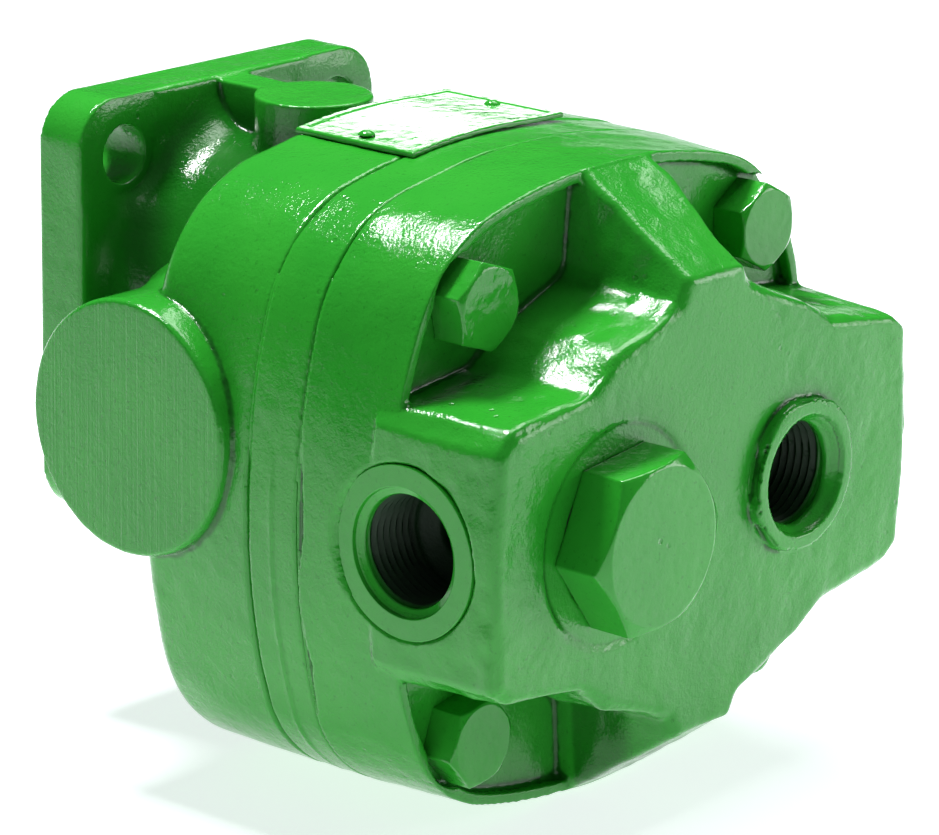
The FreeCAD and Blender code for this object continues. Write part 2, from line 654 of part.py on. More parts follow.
def bush(z, front):
    inner = SHAFT_MAIN / 2 + BUSH_FIT
    if front:
        return ring_y(0, z, BUSH_OD / 2, inner, SEAM, SEAM + BUSH_LENGTH)
    return ring_y(0, z, BUSH_OD / 2, inner, COVER_FRONT - BUSH_LENGTH, COVER_FRONT)


def bearing_race(r_out, r_in):
    """One ring of the ball bearing, with its groove."""
    middle = V(0, (BEARING_FRONT + BEARING_REAR) / 2, 0)
    groove = Part.makeTorus(BALL_CIRCLE_R, BALL_D / 2 + PART_GAP, middle, V(0, 1, 0))
    return ring_y(0, 0, r_out, r_in, BEARING_REAR, BEARING_FRONT).cut(groove)


def bearing_outer_race():
    return bearing_race(BEARING_OD / 2, BEARING_OD / 2 - BEARING_RACE)


def bearing_inner_race():
    return bearing_race(SHAFT_MAIN / 2 + BEARING_RACE, SHAFT_MAIN / 2)


def bearing_balls():
    y = (BEARING_FRONT + BEARING_REAR) / 2
    balls = []
    for i in range(BEARING_BALLS):
        angle = 2 * math.pi * i / BEARING_BALLS
        centre = V(BALL_CIRCLE_R * math.sin(angle), y, BALL_CIRCLE_R * math.cos(angle))
        balls.append(Part.makeSphere(BALL_D / 2, centre))
    return Part.makeCompound(balls)


def split_ring(r_out, r_in, y_low, y_high, gap):
    opening = block(-gap / 2, gap / 2, y_low - 1, y_high + 1, 0, r_out + 5)
    return ring_y(0, 0, r_out, r_in, y_low, y_high).cut(opening)


def bearing_retaining_ring():
    outer = BEARING_OD / 2 + RETAINER_REACH - 0.1
    return split_ring(outer, BEARING_OD / 2 - 3.0, BEARING_FRONT, BEARING_FRONT + RETAINER_THICK, 9)


def shaft_retaining_ring():
    inner = SHAFT_MAIN / 2 - SHAFT_GROOVE
    return split_ring(inner + 3.0, inner, BEARING_REAR - RETAINER_THICK, BEARING_REAR, 7)


def shaft_seal():
    high = PILOT_HEIGHT - SEAL_FRONT
    low = high - SEAL_WIDTH
    outer = BEARING_OD / 2
    lip = SHAFT_MAIN / 2 + BUSH_FIT
    web = high - 2.0
    return turned([(outer, low), (outer, high), (lip + 1.4, high), (lip + 0.6, high - 1.6),
                   (lip + 2.2, high - 2.4), (lip + 2.0, low + 2.6), (lip, low + 1.6), (lip + 1.2, low + 0.6),
                   (lip + 4.5, low + 1.2), (lip + 5.5, web), (outer - 2.5, web), (outer - 2.5, low)])


# Seals, pins, bolts and the valve

def face_seal(y):
    return seal_ring(y, FACE_SEAL_WIDTH, FACE_SEAL_GROOVE - PART_GAP)


def dowel_pins():
    pins = []
    middle = (SEAM + COVER_FRONT) / 2
    for x, z in dowel_places():
        pin = cyl_y(x, z, DOWEL / 2, middle - DOWEL_LENGTH / 2, middle + DOWEL_LENGTH / 2)
        pins.append(pin.makeChamfer(0.8, [e for e in pin.Edges if len(e.Vertexes) == 1]))
    return Part.makeCompound(pins)


def cover_bolts():
    bolts = []
    for (x, z), turn in zip(bolt_places(), BOLT_TURNS):
        head = crowned_hexagon(x, z, BOLT_AF, SEAT - BOLT_HEAD, SEAT, turn)
        end = SEAM + BOLT_GRIP_IN_HOUSING
        shank = turned([(0, SEAT - 1), (BOLT_SHANK / 2, SEAT - 1), (BOLT_SHANK / 2, end - 1.5),
                        (BOLT_SHANK / 2 - 1.5, end), (0, end)], x, z)
        bolts.append(fuse([head, shank]))
    return Part.makeCompound(bolts)


def valve_plug():
    head = crowned_hexagon(VALVE_X, BODY_Z, PLUG_AF, PLUG_SEAT_Y - PLUG_HEAD, PLUG_SEAT_Y, PLUG_TURN)
    thread_end = PLUG_SEAT_Y + PLUG_THREAD_LENGTH
    thread_r = PLUG_THREAD / 2
    neck_r = thread_r - PLUG_RELIEF
    cone_end = PLUG_SEAT_Y + PLUG_CONE_DEPTH
    nose_r = PLUG_NOSE / 2
    body = turned([(0, PLUG_SEAT_Y - 1), (neck_r, PLUG_SEAT_Y - 1), (neck_r, cone_end),
                   (thread_r, cone_end + PLUG_RELIEF), (thread_r, thread_end - 1.5),
                   (thread_r - 1.5, thread_end), (nose_r, thread_end), (nose_r, PLUG_NOSE_Y),
                   (0, PLUG_NOSE_Y)], VALVE_X, BODY_Z)
    solid = fuse([head, body])
    guide = cyl_y(VALVE_X, BODY_Z, POPPET_STEM / 2 + STEM_FIT, PLUG_SEAT_Y + 2, PLUG_NOSE_Y + 1)
    return solid.cut(guide)


def valve_plug_seal():
    """The plug's ring as it lies squeezed between the plug's neck and the cone in the cover."""
    inner = PLUG_THREAD / 2 - PLUG_RELIEF + PART_GAP
    front = PLUG_SEAT_Y + PART_GAP
    outer = PLUG_THREAD / 2 + PLUG_CONE - 3 * PART_GAP
    deep = PLUG_SEAT_Y + PLUG_CONE_DEPTH - 0.6
    narrow = inner + PLUG_RELIEF
    return turned([(inner + 0.5, front), (outer - 0.5, front), (outer - 0.3, front + 0.35), (narrow, deep),
                   (inner + 0.3, deep), (inner, deep - 0.4), (inner, front + 0.5)], VALVE_X, BODY_Z)


def valve_seat():
    outer = VALVE_BORE / 2
    hole = SEAT_HOLE / 2
    return turned([(hole, VALVE_SEAT_Y), (outer, VALVE_SEAT_Y), (outer, POPPET_Y),
                   (hole + SEAT_CONE, POPPET_Y), (hole, POPPET_Y + SEAT_CONE)], VALVE_X, BODY_Z)


def valve_poppet():
    """The poppet stands a hair off its seat, with its stem in the plug's guide."""
    cone_r = SEAT_HOLE / 2 + SEAT_CONE - 4 * PART_GAP
    stem_r = POPPET_STEM / 2
    contact = POPPET_Y - PART_GAP
    under = contact - POPPET_RIM
    stem_end = under - POPPET_STEM_LENGTH
    return turned([(0, contact + SEAT_CONE), (cone_r - SEAT_CONE, contact + SEAT_CONE), (cone_r, contact),
                   (POPPET_HEAD / 2, contact), (POPPET_HEAD / 2, under), (stem_r, under), (stem_r, stem_end),
                   (0, stem_end)], VALVE_X, BODY_Z)


def valve_spring():
    low = PLUG_NOSE_Y + SPRING_SEAT_GAP
    high = POPPET_Y - PART_GAP - POPPET_RIM - SPRING_SEAT_GAP
    wire_r = SPRING_WIRE / 2
    coil_r = SPRING_OD / 2 - wire_r
    length = high - low - SPRING_WIRE
    path = Part.makeHelix(length / SPRING_TURNS, length, coil_r)
    section = Part.Wire([Part.makeCircle(wire_r, V(coil_r, 0, 0), V(0, 1, 0))])
    coil = Part.Wire(path).makePipeShell([section], True, True)
    coil.rotate(V(0, 0, 0), V(1, 0, 0), -90)
    coil.translate(V(VALVE_X, low + wire_r, BODY_Z))
    return coil


def bent_plate(half_x, y_low, y_high, bottom, thick):
    """A strip that follows the casing's top, standing off by bottom, clipped at half_x."""
    outer = prism(body_wire(y_low, -(bottom + thick)), y_high - y_low)
    inner = prism(body_wire(y_low, -bottom), y_high - y_low)
    window = block(-half_x, half_x, y_low, y_high, BODY_Z, BODY_Z + 2 * BODY_HALF_Z)
    return outer.cut(inner).common(window)


def nameplate():
    low = PLATE_CENTRE_Y - PLATE_Y / 2
    solid = bent_plate(PLATE_X / 2, low, low + PLATE_Y, PLATE_STAND_OFF, PLATE_THICK)
    holes = []
    for side in (-1, 1):
        radius = PLATE_SCREW / 2 + 2 * PART_GAP
        holes.append(plate_screw_cylinder(side * PLATE_SCREW_X, radius, -PLATE_SCREW_LENGTH, PLATE_SCREW_LENGTH))
    return solid.cut(holes)


def nameplate_screws():
    screws = []
    for side in (-1, 1):
        x = side * PLATE_SCREW_X
        seat = PLATE_STAND_OFF + PLATE_THICK + 0.25
        top = top_of_body(x) + seat
        shank = plate_screw_cylinder(x, PLATE_SCREW / 2 - PART_GAP, seat - PLATE_SCREW_LENGTH, seat + 0.5)
        head = Part.makeSphere(PLATE_SCREW_HEAD / 2, V(x, PLATE_CENTRE_Y, top - PLATE_SCREW_HEAD / 4))
        keep = Part.makeCylinder(PLATE_SCREW_HEAD / 2, PLATE_SCREW_HEAD, V(x, PLATE_CENTRE_Y, top), V(0, 0, 1))
        screws.append(fuse([shank, head.common(keep)]))
    return Part.makeCompound(screws)


NODES = {
    "front_housing": front_housing,
    "gear_plate": gear_plate,
    "rear_cover": rear_cover,
    "drive_shaft": drive_shaft,
    "shaft_key": shaft_key,
    "drive_gear": drive_gear,
    "drive_gear_key": lambda: gear_key(0.0),
    "idler_shaft": idler_shaft,
    "idler_gear": idler_gear,
    "idler_gear_key": lambda: gear_key(IDLER_Z),
    "front_drive_bush": lambda: bush(0.0, True),
    "front_idler_bush": lambda: bush(IDLER_Z, True),
    "rear_drive_bush": lambda: bush(0.0, False),
    "rear_idler_bush": lambda: bush(IDLER_Z, False),
    "bearing_outer_race": bearing_outer_race,
    "bearing_inner_race": bearing_inner_race,
    "bearing_balls": bearing_balls,
    "bearing_retaining_ring": bearing_retaining_ring,
    "shaft_retaining_ring": shaft_retaining_ring,
    "shaft_seal": shaft_seal,
    "front_face_seal": lambda: face_seal(SEAM + FACE_SEAL_GROOVE),
    "rear_face_seal": lambda: face_seal(COVER_FRONT - PART_GAP),
    "dowel_pins": dowel_pins,
    "cover_bolts": cover_bolts,
    "valve_plug": valve_plug,
    "valve_plug_seal": valve_plug_seal,
    "valve_seat": valve_seat,
    "valve_poppet": valve_poppet,
    "valve_spring": valve_spring,
    "nameplate": nameplate,
    "nameplate_screws": nameplate_screws,
}

os.makedirs("parts", exist_ok=True)
for name, make in NODES.items():
    shape = make()
    shape.exportStep("parts/" + name + ".step")
    print(name, shape.isValid(), len(shape.Solids), round(shape.Volume, 1))
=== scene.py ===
import json
import math

import bmesh
import bpy
import numpy as np
from mathutils import Matrix, Vector


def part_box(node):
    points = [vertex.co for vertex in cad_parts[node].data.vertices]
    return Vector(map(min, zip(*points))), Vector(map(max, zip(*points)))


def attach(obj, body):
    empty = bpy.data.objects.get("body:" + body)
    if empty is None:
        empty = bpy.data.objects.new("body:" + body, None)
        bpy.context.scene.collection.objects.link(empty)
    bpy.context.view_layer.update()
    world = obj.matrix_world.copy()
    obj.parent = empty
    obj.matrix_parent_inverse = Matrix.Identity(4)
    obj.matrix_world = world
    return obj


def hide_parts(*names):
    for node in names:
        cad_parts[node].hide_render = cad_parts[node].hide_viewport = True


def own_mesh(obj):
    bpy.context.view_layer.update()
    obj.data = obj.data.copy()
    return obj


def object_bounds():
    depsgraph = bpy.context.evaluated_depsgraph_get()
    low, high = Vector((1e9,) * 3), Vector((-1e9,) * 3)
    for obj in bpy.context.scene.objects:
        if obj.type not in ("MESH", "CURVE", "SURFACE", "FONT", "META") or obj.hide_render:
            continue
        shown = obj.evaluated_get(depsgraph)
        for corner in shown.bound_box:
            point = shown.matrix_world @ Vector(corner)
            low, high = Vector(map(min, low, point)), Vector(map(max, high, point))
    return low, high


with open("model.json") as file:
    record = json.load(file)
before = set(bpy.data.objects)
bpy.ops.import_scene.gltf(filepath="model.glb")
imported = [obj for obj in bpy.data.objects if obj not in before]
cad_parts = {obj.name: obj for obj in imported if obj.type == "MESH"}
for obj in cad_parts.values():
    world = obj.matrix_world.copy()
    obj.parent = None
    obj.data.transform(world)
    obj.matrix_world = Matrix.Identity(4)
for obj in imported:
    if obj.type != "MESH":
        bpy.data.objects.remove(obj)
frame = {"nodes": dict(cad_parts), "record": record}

# Looks of a painted cast gear pump around its fixed CAD frame. Metres, +Z up, the shaft points along +Y.

CAD_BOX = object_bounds()
MM = 0.001

# Places that follow from the frame's own boxes
HOUSING_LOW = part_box("front_housing")[0]
PLATE_LOW, PLATE_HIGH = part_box("gear_plate")
COVER_LOW, COVER_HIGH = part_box("rear_cover")
PLUG_LOW, PLUG_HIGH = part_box("valve_plug")
NAMEPLATE_LOW, NAMEPLATE_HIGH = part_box("nameplate")
SEAM_Y = PLATE_HIGH[1]
COVER_FRONT_Y = PLATE_LOW[1]
AXIS_Z = (COVER_LOW[2] + COVER_HIGH[2]) / 2
PLUG_X = (PLUG_LOW[0] + PLUG_HIGH[0]) / 2
BOSS_FACE_X = HOUSING_LOW[0]
MOUNTS = {m["name"]: m for m in frame["record"]["mounts"]}
SIDE_PORT_Y = MOUNTS["side_port"]["pos_m"][1]
REAR_PORT_X = MOUNTS["rear_port"]["pos_m"][0]

# Sizes that the casting's finish follows
SIDE_RING_R = 20.3 * MM
SIDE_FACE_X = -76.9 * MM
REAR_RING_R = 18.4 * MM
REAR_FACE_Y = -166.5 * MM
SPOT_R = 26.4 * MM
PORT_R = 13.6 * MM
THREAD_ROOT_R = 13.4 * MM
THREAD_RISE = 1.0 * MM
THREAD_PITCH = 25.4 / 12 * MM
THREAD_START = 2.2 * MM
THREAD_END = 16.5 * MM
REAR_RING_RAISE = 3.2 * MM
BORE_SHADE_DEPTH = 4.0 * MM
WALL_START = 66 * MM
WALL_FULL = 70 * MM
INSIDE_WALL_R = 60 * MM
SHAFT_ROOM_R = 27 * MM
MACHINED_DEPTH = 30 * MM
JOINT_REACH = 1.5 * MM
STEM_ROOM_R = 7 * MM
STEM_CLEARANCE = 0.4 * MM
BORDER_RISE = 0.28 * MM
LIFTED_END = 0.9 * MM
HOLLOW_RANGE = 0.5 * MM
SEAM_WIDTH = 0.45 * MM
SEAM_DEPTH = 1.0 * MM
SEAM_NOISE_MM = 75
COVER_NOISE_MM = 60

# How finely the skins are made, and how often they are smoothed
CAST_VOXEL = 0.55 * MM
CAST_ROUNDS = 3
SEAT_ROUNDS = 70
SEAM_POINTS = 900
PORT_POINTS = 160
ROWS_PER_THREAD = 10
SHARP_DEGREES = 28
FLOOR_HALF = 4.0
FLOOR_DROP = 0.3 * MM

# The camera stands where the photograph was taken
FOCAL_PX = 4696.5
PHOTO_WIDTH_PX = 939
SENSOR_MM = 36.0
CAMERA_AZIMUTH = -49.309
CAMERA_ELEVATION = 16.576
CAMERA_ROLL = 0.907
CAMERA_DISTANCE = 1.13895
AIM_Y = -0.070
AIM_RIGHT = 0.01723
AIM_UP = 0.00041


def add_camera():
    a = math.radians(CAMERA_AZIMUTH)
    e = math.radians(CAMERA_ELEVATION)
    r = math.radians(CAMERA_ROLL)
    back = Vector((math.sin(a) * math.cos(e), -math.cos(a) * math.cos(e), math.sin(e)))
    right = Vector((0, 0, 1)).cross(back).normalized()
    up = back.cross(right)
    across = right * math.cos(r) + up * math.sin(r)
    upward = up * math.cos(r) - right * math.sin(r)
    aim = Vector((0, AIM_Y, AXIS_Z)) + across * AIM_RIGHT + upward * AIM_UP
    data = bpy.data.cameras.new("photo_camera")
    data.sensor_fit = "HORIZONTAL"
    data.sensor_width = SENSOR_MM
    data.lens = FOCAL_PX * SENSOR_MM / PHOTO_WIDTH_PX
    data.clip_start = 0.05
    data.clip_end = 20
    camera = bpy.data.objects.new("photo_camera", data)
    bpy.context.collection.objects.link(camera)
    place = aim + back * CAMERA_DISTANCE
    rows = [(across[i], upward[i], back[i], place[i]) for i in range(3)]
    camera.matrix_world = Matrix(rows + [(0, 0, 0, 1)])
    bpy.context.scene.camera = camera


# Noise for vertex moves, worked out per point so that every run gives the same surface


def lattice(ix, iy, iz, seed):
    """A value from 0 to 1 for each whole-number lattice point; the large odd numbers mix its bits."""
    n = ix.astype(np.int64) * 374761393 + iy.astype(np.int64) * 668265263
    n = n + iz.astype(np.int64) * 2147483647 + seed * 1274126177
    n = (n ^ (n >> 13)) & 0xFFFFFFFF
    n = (n * 1274126177) & 0xFFFFFFFF
    return ((n ^ (n >> 16)) & 0xFFFF) / 65535.0


def noise(points, size, seed):
    """Smooth noise from -1 to 1 at points, with features of that size in metres."""
    p = points / size
    base = np.floor(p)
    f = p - base
    f = f * f * (3 - 2 * f)
    ix, iy, iz = base[:, 0], base[:, 1], base[:, 2]
    total = np.zeros(len(points))
    for dx in (0, 1):
        wx = f[:, 0] if dx else 1 - f[:, 0]
        for dy in (0, 1):
            wy = f[:, 1] if dy else 1 - f[:, 1]
            for dz in (0, 1):
                wz = f[:, 2] if dz else 1 - f[:, 2]
                total += wx * wy * wz * lattice(ix + dx, iy + dy, iz + dz, seed)
    return total * 2 - 1


def step(value, low, high):
    """Rises smoothly from 0 at low to 1 at high."""
    t = np.clip((value - low) / (high - low), 0, 1)
    return t * t * (3 - 2 * t)


# Mesh helpers


def link(name, mesh):
    obj = bpy.data.objects.new(name, mesh)
    bpy.context.collection.objects.link(obj)
    return obj


def apply_modifiers(obj):
    graph = bpy.context.evaluated_depsgraph_get()
    mesh = bpy.data.meshes.new_from_object(obj.evaluated_get(graph))
    obj.modifiers.clear()
    obj.data = mesh


def coordinates(mesh):
    out = np.empty(len(mesh.vertices) * 3)
    mesh.vertices.foreach_get("co", out)
    return out.reshape(-1, 3)


def normals(mesh):
    out = np.empty(len(mesh.vertices) * 3)
    mesh.vertex_normals.foreach_get("vector", out)
    return out.reshape(-1, 3)


def set_coordinates(mesh, points):
    mesh.vertices.foreach_set("co", points.ravel())
    mesh.update()


def smooth_shading(mesh):
    mesh.polygons.foreach_set("use_smooth", [True] * len(mesh.polygons))
    mesh.update()


def skin(node, name, voxel, rounds):
    """A dense even copy of a CAD node's surface whose edges are rounded as thick paint rounds them."""
    mesh = frame["nodes"][node].data.copy()
    obj = link(name, mesh)
    work = bmesh.new()
    work.from_mesh(mesh)
    bmesh.ops.remove_doubles(work, verts=work.verts, dist=1e-6)
    work.to_mesh(mesh)
    work.free()
    mesh.materials.clear()
    remesh = obj.modifiers.new("even", "REMESH")
    remesh.mode = "VOXEL"
    remesh.voxel_size = voxel
    remesh.adaptivity = 0
    relax = obj.modifiers.new("relax", "SMOOTH")
    relax.factor = 0.5
    relax.iterations = rounds
    apply_modifiers(obj)
    return obj


def bridge(work, loops, flip=False):
    """Joins each loop of vertices to the next one with a band of quads."""
    for first, second in zip(loops, loops[1:]):
        for i in range(len(first)):
            k = (i + 1) % len(first)
            quad = (first[i], first[k], second[k], second[i])
            work.faces.new(quad[::-1] if flip else quad)


def object_from(work, name):
    """An object with the mesh that was built in work, which is freed."""
    mesh = bpy.data.meshes.new(name)
    work.to_mesh(mesh)
    work.free()
    return link(name, mesh)


def averager(mesh):
    """A function that gives, for each vertex, the middle of its neighbours' places."""
    count = len(mesh.vertices)
    edges = np.empty(len(mesh.edges) * 2, dtype=np.int64)
    mesh.edges.foreach_get("vertices", edges)
    edges = edges.reshape(-1, 2)
    degree = np.bincount(edges.ravel(), minlength=count).astype(float)
    degree[degree == 0] = 1

    def average(points):
        total = np.zeros_like(points)
        for axis in range(3):
            total[:, axis] = np.bincount(edges[:, 0], points[edges[:, 1], axis], count)
            total[:, axis] += np.bincount(edges[:, 1], points[edges[:, 0], axis], count)
        return total / degree[:, None]

    return average


def store_mask(mesh, name, value):
    """Stores a value for each vertex, which the materials read by its name."""
    layer = mesh.attributes.new(name, "FLOAT", "POINT")
    layer.data.foreach_set("value", value)


def store_hollows(mesh, rounds=12):
    """Stores how hollow each place is, from 0 on a ridge to 1 in a corner, for the painted shade in hollows.
    """
    here = coordinates(mesh)
    average = averager(mesh)
    soft = here.copy()
    for _ in range(rounds):
        soft = (soft + average(soft)) / 2
    rise = np.einsum("ij,ij->i", soft - here, normals(mesh))
    store_mask(mesh, "hollow", np.clip(0.5 + rise / HOLLOW_RANGE, 0, 1))


# Materials


class Graph:
    """A small helper that adds shader nodes and links them."""

    def __init__(self, name):
        self.material = bpy.data.materials.new(name)
        self.material.use_nodes = True
        self.tree = self.material.node_tree
        self.shader = self.tree.nodes["Principled BSDF"]
        self.place = self.add("ShaderNodeTexCoord").outputs["Object"]

    def add(self, kind, **values):
        node = self.tree.nodes.new(kind)
        for key, value in values.items():
            setattr(node, key, value)
        return node

    def link(self, source, target):
        self.tree.links.new(source, target)

    def texture(self, scale, detail=4.0, roughness=0.55, stretch=None):
        node = self.add("ShaderNodeTexNoise")
        node.inputs["Scale"].default_value = scale
        node.inputs["Detail"].default_value = detail
        node.inputs["Roughness"].default_value = roughness
        if stretch:
            mapping = self.add("ShaderNodeMapping")
            mapping.inputs["Scale"].default_value = stretch
            self.link(self.place, mapping.inputs["Vector"])
            self.link(mapping.outputs["Vector"], node.inputs["Vector"])
        else:
            self.link(self.place, node.inputs["Vector"])
        return node.outputs["Fac"]

    def ramp(self, source, low, high, start=0.0, end=1.0):
        """source mapped smoothly, from start at low to end at high."""
        node = self.add("ShaderNodeMapRange")
        node.interpolation_type = "SMOOTHSTEP"
        node.inputs["From Min"].default_value = low
        node.inputs["From Max"].default_value = high
        node.inputs["To Min"].default_value = start
        node.inputs["To Max"].default_value = end
        self.link(source, node.inputs["Value"])
        return node.outputs["Result"]

    def mix(self, factor, first, second):
        """A colour mix; first and second are colours or sockets."""
        node = self.add("ShaderNodeMix", data_type="RGBA")
        self.link(factor, node.inputs["Factor"])
        for socket, value in (("A", first), ("B", second)):
            target = [s for s in node.inputs if s.name == socket and s.type == "RGBA"][0]
            if isinstance(value, tuple):
                target.default_value = value
            else:
                self.link(value, target)
        return [s for s in node.outputs if s.type == "RGBA"][0]

    def times(self, first, second):
        node = self.add("ShaderNodeMath", operation="MULTIPLY")
        self.link(first, node.inputs[0])
        self.link(second, node.inputs[1])
        return node.outputs[0]

    def mix_value(self, factor, first, second):
        """first moved towards the number second by factor."""
        node = self.add("ShaderNodeMix", data_type="FLOAT")
        self.link(factor, node.inputs[0])
        self.link(first, node.inputs[2])
        node.inputs[3].default_value = second
        return node.outputs[0]

    def attribute(self, name):
        return self.add("ShaderNodeAttribute", attribute_name=name).outputs["Fac"]

    def bump(self, height, distance, strength=1.0, under=None):
        node = self.add("ShaderNodeBump")
        node.inputs["Strength"].default_value = strength
        node.inputs["Distance"].default_value = distance
        self.link(height, node.inputs["Height"])
        if under is not None:
            self.link(under, node.inputs["Normal"])
        return node.outputs["Normal"]

    def finish(self, colour, roughness, normal=None, metallic=0.0):
        self.link(colour, self.shader.inputs["Base Color"])
        self.link(roughness, self.shader.inputs["Roughness"])
        if normal is not None:
            self.link(normal, self.shader.inputs["Normal"])
        self.shader.inputs["Metallic"].default_value = metallic
        self.shader.inputs["Specular IOR Level"].default_value = SPECULAR
        return self.material


PAINT = (0.021, 0.292, 0.021, 1.0)
# The colour below makes random specks, and painted shade in hollows and recesses.
PAINT_SPECK_AND_SHADE = (0.005, 0.085, 0.006, 1.0)
PAINT_THIN = (0.027, 0.320, 0.024, 1.0)
# The colour below darkens the deepest hollows in patches, and the casting's pits.
PAINT_DARKEST = (0.006, 0.040, 0.008, 1.0)
# The colour below is painted shade on the walls inside the ports.
BORE_SHADE_GREEN = (0.002, 0.026, 0.004, 1.0)
SPECULAR = 0.43


def enamel(name, grain):
    """Thick green enamel: grain is how far the sand-cast texture shows through it."""
    g = Graph(name)
    cloud = g.texture(38.0, 3.0)
    colour = g.mix(g.ramp(cloud, 0.32, 0.70), PAINT, PAINT_THIN)
    speck = g.texture(900.0, 2.0, 0.7)
    colour = g.mix(g.ramp(speck, 0.60, 0.74, 0.0, 0.35), colour, PAINT_SPECK_AND_SHADE)
    hollow = g.attribute("hollow")
    # Painted shade: hollows and corners are darkened.
    colour = g.mix(g.ramp(hollow, 0.58, 0.95, 0.0, 0.85), colour, PAINT_SPECK_AND_SHADE)
    # Painted shade round the neck, on the flange's rear and in the lower pockets.
    colour = g.mix(g.attribute("recess_shade"), colour, PAINT_SPECK_AND_SHADE)
    # The deepest hollows are darkened further in patches.
    patchy_hollow_darkening = g.times(g.ramp(hollow, 0.72, 0.98), g.ramp(g.texture(160.0, 5.0, 0.7), 0.52, 0.72))
    colour = g.mix(patchy_hollow_darkening, colour, PAINT_DARKEST)
    pits = g.add("ShaderNodeTexVoronoi")
    pits.inputs["Scale"].default_value = 260.0
    g.link(g.place, pits.inputs["Vector"])
    milled = g.attribute("milled")
    dots = g.ramp(pits.outputs["Distance"], 0.10, 0.24, 1.0, 0.0)
    few = g.times(dots, g.ramp(g.texture(55.0, 2.0), 0.60, 0.68))
    few = g.mix_value(milled, few, 0.0)
    colour = g.mix(g.ramp(few, 0.0, 1.0, 0.0, 0.25), colour, PAINT_DARKEST)
    roughness = g.ramp(g.texture(120.0, 4.0), 0.3, 0.75, 0.07, 0.16)
    peel = g.bump(g.texture(330.0, 2.0, 0.45), 0.00022, 0.55)
    sand = g.bump(g.texture(1100.0, 3.0, 0.6), 0.00016, grain, peel)
    normal = g.bump(few, -0.0003, 0.5, sand)
    lines = g.texture(1.0, 3.0, 0.6, (30.0, 1000.0, 9.0))
    normal = g.bump(g.times(lines, milled), 0.00022, 1.0, normal)
    # Painted shade: the walls inside the ports are darkened near black.
    inside = g.attribute("inside")
    colour = g.mix(inside, colour, BORE_SHADE_GREEN)
    return g.finish(colour, g.mix_value(inside, roughness, 0.60), normal)


def steel(name, tint, rough_low, rough_high, turned=True):
    """Ground or turned steel with fine lines around the shaft and faint stains."""
    g = Graph(name)
    stains = g.texture(70.0, 5.0, 0.65)
    dark = tuple(0.55 * v for v in tint[:3]) + (1.0,)
    colour = g.mix(g.ramp(stains, 0.40, 0.75), tint, dark)
    lines = g.texture(1.0, 2.0, 0.5, (60.0, 2600.0, 60.0) if turned else (900.0, 900.0, 90.0))
    roughness = g.ramp(lines, 0.3, 0.7, rough_low, rough_high)
    normal = g.bump(lines, 0.00002, 0.3)
    return g.finish(colour, roughness, normal, metallic=1.0)


def rubber(name):
    g = Graph(name)
    colour = g.mix(g.ramp(g.texture(200.0), 0.35, 0.7), (0.012, 0.012, 0.013, 1), (0.035, 0.034, 0.033, 1))
    roughness = g.ramp(g.texture(500.0), 0.3, 0.7, 0.45, 0.75)
    return g.finish(colour, roughness, g.bump(g.texture(1500.0), 0.00008, 0.5))


def floor_material():
    """A white table that is also lit from below, as for product photographs."""
    g = Graph("pale_floor")
    colour = g.mix(g.ramp(g.texture(6.0), 0.3, 0.7), (0.58, 0.60, 0.62, 1), (0.62, 0.64, 0.66, 1))
    roughness = g.ramp(g.texture(40.0), 0.3, 0.7, 0.55, 0.7)
    g.shader.inputs["Emission Color"].default_value = (0.95, 0.98, 1.0, 1)
    g.shader.inputs["Emission Strength"].default_value = 0.78
    return g.finish(colour, roughness)


CAST = enamel("cast_enamel", 0.8)
SMOOTH = enamel("machined_enamel", 0.25)
BRIGHT = steel("ground_steel", (0.60, 0.60, 0.61, 1), 0.18, 0.38)
DULL = steel("sawn_steel", (0.42, 0.42, 0.43, 1), 0.3, 0.5, turned=False)
# Valve steel: dark from oil, and darker still with a green tint as painted shade seen through the port.
OIL_AND_SHADE_STEEL = steel("oil_and_shade_steel", (0.04, 0.06, 0.04, 1), 0.4, 0.6)
BRONZE = steel("bearing_bronze", (0.55, 0.38, 0.17, 1), 0.25, 0.45)
RUBBER = rubber("moulded_rubber")


def give(obj, material):
    obj.data.materials.clear()
    obj.data.materials.append(material)


def on_casing(obj, material):
    """obj gets its material and rides on the casing."""
    give(obj, material)
    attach(obj, "casing")


def take_place(obj, node, material):
    """obj stands for one of the casing's CAD nodes."""
    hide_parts(node)
    on_casing(obj, material)


# Castings


def machined(points, normal):
    """1 where a face was cut flat and takes thin smooth paint, 0 on cast skin."""
    x, y, z = points.T
    flat_y = step(np.abs(normal[:, 1]), 0.80, 0.95)
    flat_x = step(np.abs(normal[:, 0]), 0.80, 0.95)
    boss = step(-x, -BOSS_FACE_X - 1.0 * MM, -BOSS_FACE_X - 0.3 * MM) * flat_x
    ring = np.hypot(y - SIDE_PORT_Y, z - AXIS_Z)
    side = step(-ring, -SIDE_RING_R - 0.4 * MM, -SIDE_RING_R + 0.2 * MM) * (x < SIDE_FACE_X + MACHINED_DEPTH)
    by_rear = y < REAR_FACE_Y + MACHINED_DEPTH
    rear_ring = np.hypot(x - REAR_PORT_X, z - AXIS_Z)
    rear = step(-rear_ring, -REAR_RING_R - 0.4 * MM, -REAR_RING_R + 0.2 * MM) * by_rear
    spot_ring = np.hypot(x - PLUG_X, z - AXIS_Z)
    spot = step(-spot_ring, -SPOT_R - 0.2 * MM, -SPOT_R + 0.4 * MM) * by_rear
    at_seam = np.maximum(np.abs(y - SEAM_Y) < JOINT_REACH, np.abs(y - COVER_FRONT_Y) < JOINT_REACH)
    joints = flat_y * at_seam
    mount = step(y, -1.0 * MM, -0.2 * MM)
    shaft = np.hypot(x, z) < SHAFT_ROOM_R
    return np.clip(boss + side + rear + spot + joints + mount + shaft, 0, 1)


